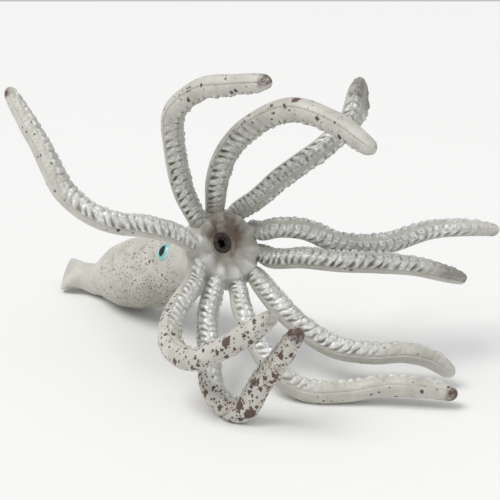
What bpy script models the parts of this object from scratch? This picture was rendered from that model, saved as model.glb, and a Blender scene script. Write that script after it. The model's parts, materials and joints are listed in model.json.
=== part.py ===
"""Toy squid figure: a hollow mantle, a head with ten ball-rooted arms, a tail fin, a mouth and two eyes.

The figure faces -Y, its tail lies towards +Y, its left side is +X and +Z is up. It stands on its tail
and on the bends of two lower arms. The origin is on the table, under the middle of the figure.
"""

import math

import bmesh
import bpy
from mathutils import Matrix, Vector

MM = 0.001

# Driving dimensions, in millimetres unless a name says degrees.
MOUTH_HEIGHT = 52.2
GAP = 0.3

HEAD_YAW_DEG = 8.0
HEAD_PITCH_DEG = 27.0
CROWN_OFFSET = (2.0, -2.0)
CROWN_DEPTH = 4.0
CROWN_SLOPE_DEG = 52.0
CROWN_SKIRT = 5.0
HEAD_LENGTH = 36.0
HEAD_BRIM = 3.0
HEAD_CHEEK_INSET = 0.7
HEAD_TEMPLE = 1.0
HEAD_WAIST = 13.8
HEAD_BALL = 14.6

MANTLE_LENGTH = 76.0
MANTLE_RADIUS = 17.1
MANTLE_LIP_WALL = 1.7
MANTLE_WALL = 1.8
TAIL_HEIGHT = 8.1
STALK_RADIUS = 9.3
STALK_PEG_RADIUS = 5.0
STALK_PEG_LENGTH = 8.0
STALK_PEG_CHAMFER = 1.0

FIN_LENGTH = 21.0
FIN_HALF_SPAN = 14.5
FIN_HALF_THICKNESS = 3.4
FIN_EDGE_THINNING = 0.35
FIN_LIFT = 12.5
FIN_LIFT_POWER = 1.3
FIN_DROOP = 12.0
FIN_DROOP_POWER = 1.5
FIN_SIDES = 20

ARM_BALL = 3.4
ARM_WEB = 0.95
ARM_LEAD = 5.0
ARM_RING_STEP = 5.5
ARM_TIP_SHARE = 0.72

PIT_RADIUS = 4.6
PIT_DEPTH = 7.0
LIP_TUBE = 1.05
LIP_DEPTH = 1.6
BEAK_LENGTH = 4.4

EYE_RADIUS = 3.7
EYE_SINK = 0.9
EYE_BACK = 28.0
EYE_RISE_DEG = 30.0

# The arms in order round the crown. Each has its greatest radius and then its route from the middle of
# its own root ball, after the straight lead: points chosen by hand so that it curls as it does at rest.
ARMS = (
    (4.5, ((-12, -1, 8), (-22, 2, 12), (-37, 12, 16), (-44, 27, 25), (-44, 45, 43), (-43, 64, 59),
           (-43, 69, 64))),
    (4.8, ((-7, 2, 17), (-10, 4, 37), (-11, 2, 50), (-8, -11, 60), (-7, -29, 63), (-6, -47, 65))),
    (5.2, ((-3, -6, 19), (-1, -11, 32), (3, -22, 43), (7, -38, 50), (8, -59, 47), (6, -80, 39))),
    (4.8, ((5, -11, 11), (9, -21, 21), (14, -30, 29), (21, -35, 35), (33, -35, 41), (45, -32, 48),
           (58, -25, 60))),
    (4.0, ((3, -9, 3), (4, -18, 6), (10, -28, 6), (21, -38, 0), (37, -48, -2), (57, -60, 3),
           (72, -71, 3), (81, -80, 2))),
    (4.2, ((2, -13, 0), (5, -28, 3), (12, -42, 3), (25, -53, 2), (39, -61, -1), (53, -68, -6),
           (63, -72, -10))),
    (4.6, ((-1, -13, -4), (-2, -24, -10), (0, -36, -17), (5, -48, -23), (14, -60, -25), (24, -70, -25),
           (30, -78, -27), (35, -87, -33))),
    (4.6, ((-8, -16, -9), (-11, -30, -21), (-12, -42, -28), (-8, -51, -32), (2, -63, -32), (13, -76, -29),
           (21, -87, -29), (29, -97, -31))),
    (4.8, ((-14, -11, -12), (-22, -21, -21), (-30, -31, -30), (-32, -41, -34), (-30, -48, -34),
           (-27, -55, -21), (-25, -63, -9), (-22, -69, 3))),
    (4.7, ((-9, -6, -5), (-22, -12, -10), (-33, -19, -15), (-38, -27, -19), (-38, -37, -20),
           (-34, -47, -15), (-29, -57, -7), (-24, -67, 2))),
)

# The crown is the ring that the arms root in. It is just wide enough for a web between their sockets.
CROWN_RADIUS = (ARM_BALL + GAP + ARM_WEB / 2) / math.sin(math.pi / len(ARMS))

# Directions of the head: forwards, to its left and up. The mantle slopes down until its end is at the
# tail's height above the table.
yaw = math.radians(HEAD_YAW_DEG)
head_pitch = math.radians(HEAD_PITCH_DEG)
FORWARD = Vector((-math.sin(yaw) * math.cos(head_pitch), -math.cos(yaw) * math.cos(head_pitch),
                  math.sin(head_pitch)))
SIDE = Vector((math.cos(yaw), -math.sin(yaw), 0.0))
UP = SIDE.cross(FORWARD) * -1.0
MOUTH = Vector((0.0, 0.0, MOUTH_HEIGHT))
CROWN = MOUTH - CROWN_DEPTH * FORWARD + CROWN_OFFSET[0] * SIDE + CROWN_OFFSET[1] * UP
NAPE = CROWN - HEAD_LENGTH * FORWARD
mantle_pitch = math.asin((NAPE.z - TAIL_HEIGHT) / MANTLE_LENGTH)
MANTLE_FORWARD = Vector((0.0, -math.cos(mantle_pitch), math.sin(mantle_pitch)))
MANTLE_UP = Vector((0.0, math.sin(mantle_pitch), math.cos(mantle_pitch)))


def clear_scene():
    """Removes every object that is in the scene."""
    for obj in list(bpy.data.objects):
        bpy.data.objects.remove(obj, do_unlink=True)


def new_collection(name):
    """A collection linked to the scene."""
    collection = bpy.data.collections.new(name)
    bpy.context.scene.collection.children.link(collection)
    return collection


def new_material(name, colour, roughness, metallic=0.0):
    """A plain Principled material."""
    material = bpy.data.materials.new(name)
    material.use_nodes = True
    shader = material.node_tree.nodes["Principled BSDF"]
    shader.inputs["Base Color"].default_value = (*colour, 1.0)
    shader.inputs["Roughness"].default_value = roughness
    shader.inputs["Metallic"].default_value = metallic
    material.diffuse_color = (*colour, 1.0)
    return material


def axes_matrix(x_axis, y_axis, z_axis, place):
    """The matrix of a frame with these axes, standing at a place given in millimetres."""
    turn = Matrix((x_axis, y_axis, z_axis)).transposed()
    return Matrix.Translation(place * MM) @ turn.to_4x4()


def head_frame(place):
    """A frame at this place whose +Z is the head's forwards."""
    return axes_matrix(SIDE, UP, FORWARD, place)


def mantle_frame():
    """A frame at the nape whose +Z is the mantle's forwards."""
    return axes_matrix(Vector((1, 0, 0)), MANTLE_UP, MANTLE_FORWARD, NAPE)


def add_object(name, mesh, collection, frame, material=None):
    """Links a mesh as a named object at a frame that is given relative to the figure's empty."""
    obj = bpy.data.objects.new(name, mesh)
    collection.objects.link(obj)
    obj.parent = bpy.data.objects["squid"]
    obj.matrix_basis = frame
    if material is None:
        obj.hide_render = True
        obj.display_type = "WIRE"
    else:
        mesh.materials.append(material)
    return obj


def shade(mesh):
    """Smooth shading with the hard edges kept."""
    mesh.shade_smooth()
    mesh.set_sharp_from_angle(angle=math.radians(35.0))


def turned(name, profile, sides, collection, frame, material):
    """A profile of (radius, height) points in millimetres, turned about its own Z by a Screw modifier."""
    mesh = bpy.data.meshes.new(name)
    points = [(radius * MM, 0.0, height * MM) for radius, height in profile]
    mesh.from_pydata(points, [(i, i + 1) for i in range(len(points) - 1)], [])
    obj = add_object(name, mesh, collection, frame, material)
    screw = obj.modifiers.new("turn", "SCREW")
    screw.steps = sides
    screw.render_steps = sides
    screw.use_merge_vertices = True
    screw.merge_threshold = 0.00001
    screw.use_smooth_shade = True
    return obj


def ball_mesh(name, radius, sides, rings):
    """A closed ball."""
    mesh = bpy.data.meshes.new(name)
    bm = bmesh.new()
    bmesh.ops.create_uvsphere(bm, u_segments=sides, v_segments=rings, radius=radius * MM)
    bm.to_mesh(mesh)
    bm.free()
    shade(mesh)
    return mesh


def cylinder_mesh(name, radius, low, high, sides):
    """A closed cylinder from one height to another."""
    mesh = bpy.data.meshes.new(name)
    bm = bmesh.new()
    bmesh.ops.create_cone(bm, cap_ends=True, segments=sides, radius1=radius * MM, radius2=radius * MM,
                          depth=(high - low) * MM, matrix=Matrix.Translation((0, 0, (low + high) / 2 * MM)))
    bm.to_mesh(mesh)
    bm.free()
    return mesh


def cut(obj, cutter):
    """Cuts a cutter's shape out of an object."""
    boolean = obj.modifiers.new("cut " + cutter.name, "BOOLEAN")
    boolean.operation = "DIFFERENCE"
    boolean.solver = "EXACT"
    boolean.object = cutter


def loft(name, rings):
    """A closed skin through rings of equally many points, with a fan at each end."""
    mesh = bpy.data.meshes.new(name)
    bm = bmesh.new()
    loops = [[bm.verts.new(point * MM) for point in ring] for ring in rings]
    count = len(rings[0])
    for near, far in zip(loops, loops[1:]):
        for i in range(count):
            j = (i + 1) % count
            bm.faces.new((near[i], near[j], far[j], far[i]))
    bm.faces.new(loops[0][::-1])
    bm.faces.new(loops[-1])
    bmesh.ops.recalc_face_normals(bm, faces=bm.faces)
    bm.to_mesh(mesh)
    bm.free()
    shade(mesh)
    return mesh


def smooth_route(points, per_span=24):
    """A centripetal Catmull-Rom curve through the points, sampled finely."""
    ends = [points[0] * 2 - points[1]] + list(points) + [points[-1] * 2 - points[-2]]
    samples = []
    for before, start, end, after in zip(ends, ends[1:], ends[2:], ends[3:]):
        t0 = 0.0
        t1 = t0 + (start - before).length ** 0.5
        t2 = t1 + (end - start).length ** 0.5
        t3 = t2 + (after - end).length ** 0.5
        for i in range(per_span):
            t = t1 + (t2 - t1) * i / per_span
            a = before.lerp(start, (t - t0) / (t1 - t0))
            b = start.lerp(end, (t - t1) / (t2 - t1))
            c = end.lerp(after, (t - t2) / (t3 - t2))
            d = a.lerp(b, (t - t0) / (t2 - t0))
            e = b.lerp(c, (t - t1) / (t3 - t1))
            samples.append(d.lerp(e, (t - t1) / (t2 - t1)))
    samples.append(points[-1])
    return samples


def point_at(samples, distances, distance):
    """The point this far along a sampled route."""
    for i in range(len(samples) - 1):
        if distances[i + 1] >= distance:
            share = (distance - distances[i]) / (distances[i + 1] - distances[i])
            return samples[i].lerp(samples[i + 1], share)
    return samples[-1]


def arm_radius(share, greatest):
    """An arm's radius at this share of its length: slim at the root, fullest at a third, then tapering."""
    stops = ((0.0, ARM_BALL / greatest), (0.12, 0.95), (0.3, 1.0), (0.6, 0.97), (0.85, 0.86),
             (1.0, ARM_TIP_SHARE))
    for (low, start), (high, end) in zip(stops, stops[1:]):
        if share <= high:
            return greatest * (start + (end - start) * (share - low) / (high - low))
    return greatest * ARM_TIP_SHARE


def arm_root(number):
    """(place of the root ball, direction of the lead) of this arm. The arms stand evenly round the crown."""
    angle = math.radians(198.0) - math.tau * number / len(ARMS)
    outwards = math.cos(angle) * SIDE + math.sin(angle) * UP
    slope = math.radians(CROWN_SLOPE_DEG)
    return CROWN + CROWN_RADIUS * outwards, math.cos(slope) * FORWARD + math.sin(slope) * outwards


def arm_mesh(name, lead, greatest, route):
    """An arm round its root ball's middle: half a ball, a tapering tube on the route, then a round tip."""
    samples = smooth_route([Vector(), ARM_LEAD * lead] + [Vector(point) for point in route])
    distances = [0.0]
    for start, end in zip(samples, samples[1:]):
        distances.append(distances[-1] + (end - start).length)
    length = distances[-1]
    tip = greatest * ARM_TIP_SHARE
    rings = [(-ARM_BALL * math.cos(math.radians(turn)) * lead, ARM_BALL * math.sin(math.radians(turn)))
             for turn in (12.0, 38.0, 64.0)]
    steps = round((length - tip) / ARM_RING_STEP)
    for i in range(steps + 1):
        distance = (length - tip) * i / steps
        rings.append((point_at(samples, distances, distance), arm_radius(distance / length, greatest)))
    for turn in (30.0, 56.0, 80.0):
        distance = length - tip * (1 - math.sin(math.radians(turn)))
        radius = arm_radius(distance / length, greatest) * math.cos(math.radians(turn))
        rings.append((point_at(samples, distances, distance), radius))
    curve = bpy.data.curves.new(name, "CURVE")
    curve.dimensions = "3D"
    curve.bevel_depth = MM
    curve.bevel_resolution = 3
    curve.use_fill_caps = True
    spline = curve.splines.new("POLY")
    spline.points.add(len(rings) - 1)
    for point, (place, radius) in zip(spline.points, rings):
        point.co = (*(place * MM), 1.0)
        point.radius = radius
    guide = bpy.data.objects.new(name + " guide", curve)
    bpy.context.scene.collection.objects.link(guide)
    graph = bpy.context.evaluated_depsgraph_get()
    mesh = bpy.data.meshes.new_from_object(guide.evaluated_get(graph))
    bpy.data.objects.remove(guide)
    bm = bmesh.new()
    bm.from_mesh(mesh)
    bmesh.ops.remove_doubles(bm, verts=bm.verts, dist=1e-6)
    bm.to_mesh(mesh)
    bm.free()
    mesh.name = name
    mesh.materials.clear()
    shade(mesh)
    return mesh


def make_arms(parts, cutters, material, head, table):
    """The ten arms, each with its origin on its own hinge axis, and the sockets they turn in."""
    for number, (greatest, route) in enumerate(ARMS, start=1):
        place, lead = arm_root(number)
        name = f"arm_{number}"
        at_root = Matrix.Translation(place * MM)
        arm = add_object(name, arm_mesh(name, lead, greatest, route), parts, at_root, material)
        turn = lead.to_track_quat("Z", "Y").to_matrix().to_4x4()
        hollow = ball_mesh(f"socket_{number}", ARM_BALL + GAP, 12, 8)
        cut(head, add_object(f"socket_{number}", hollow, cutters, at_root @ turn))
        cut(arm, table)


def make_head(parts, material):
    """The head: a flat mouth disc, a sloping crown for the arms, a brim, a waist and the mantle's ball."""
    slope = math.radians(CROWN_SLOPE_DEG)
    rise = CROWN_DEPTH / math.sin(slope)
    disc = CROWN_RADIUS - rise * math.cos(slope)
    brim = CROWN_RADIUS + CROWN_SKIRT * math.cos(slope)
    drop = CROWN_SKIRT * math.sin(slope)
    cheeks_at, temples_at, waist_at = -0.38 * HEAD_LENGTH, -0.6 * HEAD_LENGTH, -HEAD_LENGTH + HEAD_BALL / 2
    profile = [(0.0, CROWN_DEPTH), (disc, CROWN_DEPTH), (brim, -drop), (brim, -drop - HEAD_BRIM)]
    profile += [(brim - HEAD_CHEEK_INSET, cheeks_at), (HEAD_WAIST + HEAD_TEMPLE, temples_at)]
    profile.append((HEAD_WAIST, waist_at))
    for turn in (12.0, -6.0, -24.0, -42.0, -60.0, -76.0):
        angle = math.radians(turn)
        profile.append((HEAD_BALL * math.cos(angle), -HEAD_LENGTH + HEAD_BALL * math.sin(angle)))
    profile.append((0.0, -HEAD_LENGTH - HEAD_BALL))
    return turned("head", profile, 24, parts, head_frame(CROWN), material)


def make_mouth(parts, cutters, head, skin, horn):
    """The mouth: a pit in the head, a lip ring seated in its rim, and an upper and a lower beak inside."""
    pit = add_object("mouth_pit", cylinder_mesh("mouth_pit", PIT_RADIUS, -PIT_DEPTH, 1.0, 20), cutters,
                     head_frame(MOUTH))
    cut(head, pit)
    outer = PIT_RADIUS - GAP
    middle = outer - LIP_TUBE
    profile = [(outer, 0.0), (outer, -LIP_DEPTH), (middle - LIP_TUBE, -LIP_DEPTH), (middle - LIP_TUBE, 0.0)]
    for turn in (150.0, 120.0, 90.0, 60.0, 30.0):
        angle = math.radians(turn)
        profile.append((middle + LIP_TUBE * math.cos(angle), LIP_TUBE * math.sin(angle)))
    profile.append((outer, 0.0))
    turned("mouth_ring", profile, 20, parts, head_frame(MOUTH), skin)
    reach = middle - LIP_TUBE - GAP
    root = GAP - PIT_DEPTH
    arc = [math.radians(turn) for turn in range(0, 181, 30)]
    # Each section of a beak: its share of the length, and its width and depth as shares of the pit's reach.
    sections = ((0.0, 1.0, 0.95), (0.35, 1.0, 0.9), (0.75, 0.7, 0.6), (1.0, 0.35, 0.2))
    for name, sign in (("upper_beak", 1.0), ("lower_beak", -1.0)):
        rings = []
        for along, wide, deep in sections:
            height = root + along * BEAK_LENGTH
            rings.append([Vector((reach * wide * math.cos(a), sign * (GAP / 2 + reach * deep * math.sin(a)),
                                  height)) for a in arc])
        add_object(name, loft(name, rings), parts, head_frame(MOUTH), horn)


def make_eyes(parts, cutters, head, material):
    """Two bead eyes, one on each side of the head, sunk in round sockets."""
    rise = math.radians(EYE_RISE_DEG)
    for name, side in (("eye_left", 1.0), ("eye_right", -1.0)):
        outwards = side * math.cos(rise) * SIDE + math.sin(rise) * UP
        place = CROWN - EYE_BACK * FORWARD + (HEAD_WAIST - EYE_SINK) * outwards
        frame = axes_matrix(FORWARD.cross(outwards), FORWARD, outwards, place)
        cut(head, add_object(name + "_socket", ball_mesh(name + "_socket", EYE_RADIUS + GAP, 16, 10),
                             cutters, frame))
        add_object(name, ball_mesh(name, EYE_RADIUS, 14, 10), parts, frame, material)


def make_mantle(parts, material, table):
    """The mantle: a hollow turned shell, open round the head's ball, that ends in a stalk and a peg."""
    lip = HEAD_BALL + GAP
    # Along the shell, by shares of its length: how far its radius has gone from the bulge to the stalk's.
    taper = ((0.3, 0.0), (0.48, 0.035), (0.63, 0.31), (0.77, 0.775), (0.89, 0.985), (1.0, 1.0))
    outer = [(lip + MANTLE_LIP_WALL, -1.0)]
    for along, narrowing in taper:
        outer.append((MANTLE_RADIUS + (STALK_RADIUS - MANTLE_RADIUS) * narrowing, -along * MANTLE_LENGTH))
    peg_end = -MANTLE_LENGTH - STALK_PEG_LENGTH
    peg = [(STALK_PEG_RADIUS, -MANTLE_LENGTH), (STALK_PEG_RADIUS, peg_end + STALK_PEG_CHAMFER),
           (STALK_PEG_RADIUS - STALK_PEG_CHAMFER, peg_end), (0.0, peg_end)]
    inner = [(radius - MANTLE_WALL, height) for radius, height in outer[1:5]]
    end_radius, end_height = inner[-1]
    dome = [(0.0, end_height - 0.35 * end_radius), (0.6 * end_radius, end_height - 0.25 * end_radius)]
    hollow = dome + inner[::-1] + [(lip, -1.0)]
    mantle = turned("mantle", hollow + outer + peg, 24, parts, mantle_frame(), material)
    cut(mantle, table)


def make_fin(parts, cutters, material, table):
    """The tail fin: a moulding that starts as the stalk's circle and flattens to two drooping lobes."""
    # Each station: its share of the length, then how far its half span, its thinning and its edges' droop
    # have gone from the stalk's circle to the fin's full values.
    stations = ((0.0, 0.0, 0.0, 0.0), (0.18, 0.1, 0.15, 0.015), (0.38, 0.4, 0.4, 0.16),
                (0.58, 0.8, 0.65, 0.52), (0.76, 1.0, 0.8, 0.8), (0.9, 0.61, 0.92, 0.79),
                (1.0, -0.39, 1.0, 0.5))
    rings = []
    for along, spread, thinning, droop in stations:
        half_span = STALK_RADIUS + (FIN_HALF_SPAN - STALK_RADIUS) * spread
        half_thick = STALK_RADIUS + (FIN_HALF_THICKNESS - STALK_RADIUS) * thinning
        middle = FIN_LIFT * along ** FIN_LIFT_POWER
        ring = []
        for i in range(FIN_SIDES):
            angle = math.tau * i / FIN_SIDES
            outwards = abs(math.cos(angle))
            thin = 1 - FIN_EDGE_THINNING * thinning * outwards
            y = middle + half_thick * thin * math.sin(angle)
            y -= FIN_DROOP * droop * outwards ** FIN_DROOP_POWER
            ring.append(Vector((half_span * math.cos(angle), y, -MANTLE_LENGTH - GAP - FIN_LENGTH * along)))
        rings.append(ring)
    fin = add_object("tail_fin", loft("tail_fin", rings), parts, mantle_frame(), material)
    hole = cylinder_mesh("peg_hole", STALK_PEG_RADIUS + GAP, -MANTLE_LENGTH - STALK_PEG_LENGTH - GAP,
                         -MANTLE_LENGTH + 1.0, 24)
    cut(fin, add_object("peg_hole", hole, cutters, mantle_frame()))
    cut(fin, table)


def make_table(cutters):
    """A cutter below the table's top. It gives each piece that reaches the table a flat foot."""
    mesh = bpy.data.meshes.new("table")
    bm = bmesh.new()
    bmesh.ops.create_cube(bm, size=1.0, matrix=Matrix.Translation((0, 0, -0.5)))
    bm.to_mesh(mesh)
    bm.free()
    return add_object("table", mesh, cutters, Matrix())


def centre_on_origin(parts):
    """Moves the figure's empty so that the middle of the figure is above the origin."""
    graph = bpy.context.evaluated_depsgraph_get()
    places = []
    for obj in parts.objects:
        evaluated = obj.evaluated_get(graph)
        places += [evaluated.matrix_world @ vertex.co for vertex in evaluated.data.vertices]
    empty = bpy.data.objects["squid"]
    for axis in (0, 1):
        values = [place[axis] for place in places]
        empty.location[axis] -= (min(values) + max(values)) / 2


def build():
    """Builds the whole figure."""
    clear_scene()
    parts = new_collection("toy_squid")
    cutters = new_collection("cutters")
    cutters.hide_render = True
    empty = bpy.data.objects.new("squid", None)
    parts.objects.link(empty)

    vinyl = new_material("vinyl_cream", (0.56, 0.54, 0.48), 0.45)
    arm_vinyl = new_material("vinyl_pearl", (0.58, 0.58, 0.54), 0.38, 0.15)
    lip_vinyl = new_material("vinyl_brown", (0.05, 0.035, 0.03), 0.4)
    horn = new_material("beak_black", (0.02, 0.015, 0.015), 0.3)
    bead = new_material("eye_teal", (0.05, 0.25, 0.28), 0.15)

    table = make_table(cutters)
    head = make_head(parts, vinyl)
    make_mantle(parts, vinyl.copy(), table)
    make_fin(parts, cutters, vinyl.copy(), table)
    make_mouth(parts, cutters, head, lip_vinyl, horn)
    make_eyes(parts, cutters, head, bead)
    make_arms(parts, cutters, arm_vinyl, head, table)
    parts.objects.unlink(empty)
    bpy.context.scene.collection.objects.link(empty)
    bpy.context.view_layer.update()
    centre_on_origin(parts)
    bpy.context.view_layer.update()


build()
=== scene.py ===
"""A moulded vinyl toy squid that lies on a table on its tail and the bends of two lower arms.

Lengths are millimetres until a mesh is written. The squid faces -Y, its left side is +X and +Z is up.
"""

import json

import bpy
import numpy as np
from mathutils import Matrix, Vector


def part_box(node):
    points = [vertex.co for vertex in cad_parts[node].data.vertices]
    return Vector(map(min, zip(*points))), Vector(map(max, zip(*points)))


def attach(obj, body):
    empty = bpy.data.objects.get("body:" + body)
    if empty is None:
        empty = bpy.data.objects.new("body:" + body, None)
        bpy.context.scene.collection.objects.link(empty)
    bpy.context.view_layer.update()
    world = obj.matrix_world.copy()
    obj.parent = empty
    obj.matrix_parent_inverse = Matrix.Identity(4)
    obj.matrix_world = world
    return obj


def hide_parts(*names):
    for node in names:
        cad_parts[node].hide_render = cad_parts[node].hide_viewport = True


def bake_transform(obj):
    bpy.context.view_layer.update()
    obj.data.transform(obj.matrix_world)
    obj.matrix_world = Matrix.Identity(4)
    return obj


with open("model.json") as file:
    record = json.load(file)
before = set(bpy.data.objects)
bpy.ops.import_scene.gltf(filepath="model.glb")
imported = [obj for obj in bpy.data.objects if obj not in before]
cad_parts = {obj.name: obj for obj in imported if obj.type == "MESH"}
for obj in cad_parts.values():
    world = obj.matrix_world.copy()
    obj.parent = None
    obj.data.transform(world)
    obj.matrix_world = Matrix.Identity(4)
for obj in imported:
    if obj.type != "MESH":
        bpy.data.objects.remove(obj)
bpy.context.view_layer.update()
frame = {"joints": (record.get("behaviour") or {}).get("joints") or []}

# ---- The table and the light ------------------------------------------------------------------------
# The squid lies on a plain pale sheet under a broad soft lamp, with a much weaker one on the other
# side. The camera looks past its right side, so that the mouth and the fan of arms face the lens. The
# camera's place and the sheet's reach are in metres.
CAMERA_PLACE = (-0.2478, -0.2608, 0.1517)
CAMERA_AZIMUTH = -45.0
CAMERA_ELEVATION = 17.0
CAMERA_LENS = 58.6
SHEET_COLOUR = (0.90, 0.90, 0.89)
SKY_COLOUR = (0.97, 0.985, 1.0)
SKY_STRENGTH = 0.56


def look_from(azimuth, elevation):
    """The direction from the squid to a viewer at this azimuth and elevation, in degrees."""
    turn, rise = np.radians(azimuth), np.radians(elevation)
    return Vector((np.sin(turn) * np.cos(rise), -np.cos(turn) * np.cos(rise), np.sin(rise)))


def place_camera():
    """The camera, at the place and angle given above."""
    camera = bpy.data.objects.new("camera", bpy.data.cameras.new("camera"))
    camera.data.lens = CAMERA_LENS
    camera.location = CAMERA_PLACE
    backwards = look_from(CAMERA_AZIMUTH, CAMERA_ELEVATION)
    camera.rotation_mode = "QUATERNION"
    camera.rotation_quaternion = (-backwards).to_track_quat("-Z", "Y")
    bpy.context.scene.collection.objects.link(camera)
    bpy.context.scene.camera = camera


def hang_lamp(name, azimuth, elevation, softness, strength, colour):
    """A distant round lamp, as wide as this softness in degrees, that lights the whole sheet evenly."""
    lamp = bpy.data.objects.new(name, bpy.data.lights.new(name, "SUN"))
    lamp.data.angle = np.radians(softness)
    lamp.data.energy = strength
    lamp.data.color = colour
    lamp.rotation_mode = "QUATERNION"
    lamp.rotation_quaternion = (-look_from(azimuth, elevation)).to_track_quat("-Z", "Y")
    bpy.context.scene.collection.objects.link(lamp)


def lay_sheet():
    """The table's sheet: a flat square, wide enough to fill every view."""
    reach = 400.0
    mesh = bpy.data.meshes.new("sheet")
    corners = [(-reach, -reach, 0), (reach, -reach, 0), (reach, reach, 0), (-reach, reach, 0)]
    mesh.from_pydata(corners, [], [(0, 1, 2, 3)])
    material = bpy.data.materials.new("sheet")
    material.use_nodes = True
    shader = material.node_tree.nodes["Principled BSDF"]
    shader.inputs["Base Color"].default_value = (*SHEET_COLOUR, 1)
    shader.inputs["Roughness"].default_value = 0.6
    mesh.materials.append(material)
    sheet = bpy.data.objects.new("sheet", mesh)
    bpy.context.scene.collection.objects.link(sheet)


place_camera()
hang_lamp("over_lamp", -120.0, 58.0, 35.0, 1.75, (1.0, 0.985, 0.96))
hang_lamp("side_lamp", 20.0, 40.0, 50.0, 0.30, (0.95, 0.98, 1.0))
lay_sheet()
world = bpy.data.worlds.new("sky")
world.use_nodes = True
world.node_tree.nodes["Background"].inputs["Color"].default_value = (*SKY_COLOUR, 1)
world.node_tree.nodes["Background"].inputs["Strength"].default_value = SKY_STRENGTH
bpy.context.scene.world = world
bpy.context.scene.view_settings.view_transform = "Standard"

# ---- The body: mantle, head and tail fin --------------------------------------------------------------
# Soft cream vinyl, moulded hollow and glued at the collar and at the stalk, then smoothed over so that
# no joint shows. The front is a shallow cup of ten sockets, with a web of vinyl drawn up round each arm.
MM = 0.001
HEAD_LENGTH = 36.0
MANTLE_LENGTH = 76.0
TAIL_HEIGHT = 8.1
CROWN_SLOPE = np.radians(52.0)
MOUTH_DEPTH = 4.0
MOUTH_SHIFT = (-2.0, 2.0)
WEB_RISE = 4.6
FIN_LENGTH = 22.8
FIN_HALF_SPAN = 16.2
FIN_HALF_HEIGHT = 3.5
FIN_LIFT = 12.0
FIN_DROOP = 13.2
# No skin comes nearer to the table than this.
TABLE_GAP = 0.02
# The eyes' half lengths towards the mouth, up and outwards, their turn forwards, and how far out they stand.
EYES = ("eye_right", "eye_left")
EYE_LONG = 4.1
EYE_TALL = 4.1
EYE_DOME = 2.2
EYE_TURN = np.radians(19.0)
EYE_RAISED = 1.5
# Rows over the crown, along the head and mantle, and closing the fin's last stretch; points in each row.
CROWN_ROWS = 92
MANTLE_ROWS = 142
FIN_END_ROWS = 24
FIN_END = 6.0
BODY_ROUND = 384


def unit(vectors):
    """Each vector divided by its own length."""
    vectors = np.asarray(vectors, float)
    return vectors / np.linalg.norm(vectors, axis=-1, keepdims=True)


joints = {joint["child"]: joint for joint in frame["joints"]}
ARM_NAMES = [f"arm_{number}" for number in range(1, 11)]
arm_roots = np.array([joints[arm]["pos_m"] for arm in ARM_NAMES]) / MM
crown = arm_roots.mean(axis=0)
arm_outwards = unit(arm_roots - crown)
forward = unit(np.cross(arm_outwards[0], joints["arm_1"]["axis"]))
side = unit(np.cross(forward, (0.0, 0.0, 1.0)))
side = side if side[0] > 0 else -side
up = np.cross(forward, side)
arm_leads = np.cos(CROWN_SLOPE) * forward + np.sin(CROWN_SLOPE) * arm_outwards
mouth = crown + MOUTH_DEPTH * forward + MOUTH_SHIFT[0] * side + MOUTH_SHIFT[1] * up
nape = crown - HEAD_LENGTH * forward
droop_angle = np.arcsin((nape[2] - TAIL_HEIGHT) / MANTLE_LENGTH)
mantle_forward = np.array([0.0, -np.cos(droop_angle), np.sin(droop_angle)])
mantle_up = np.array([0.0, np.sin(droop_angle), np.cos(droop_angle)])


def ease(value, low, high):
    """0 below low and 1 above high, with a smooth S between: 3t^2 - 2t^3."""
    t = np.clip((value - low) / (high - low), 0.0, 1.0)
    return t * t * (3 - 2 * t)


def softened(at, stops, width):
    """A line through (place, value) stops, rounded by averaging it over a window of this width."""
    places, values = np.array(stops, float).T
    offsets = np.linspace(-0.5, 0.5, 15) * width
    weights = np.cos(np.pi * np.linspace(-0.48, 0.48, 15)) ** 2
    lines = np.interp(np.asarray(at)[..., None] + offsets, places, values)
    return lines @ weights / weights.sum()


def ripple(first, second, waves, seed):
    """Gentle unevenness, mostly between -1 and 1: a sum of sine waves, each with a direction, a pace and a
    phase of its own."""
    chance = np.random.default_rng(seed)
    total = np.zeros(np.broadcast(first, second).shape)
    for _ in range(waves):
        turn, phase = chance.uniform(0, 2 * np.pi, 2)
        pace = chance.uniform(0.6, 1.6)
        total += np.sin(pace * (np.cos(turn) * first + np.sin(turn) * second) + phase)
    return total / waves ** 0.5 / 1.4


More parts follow.
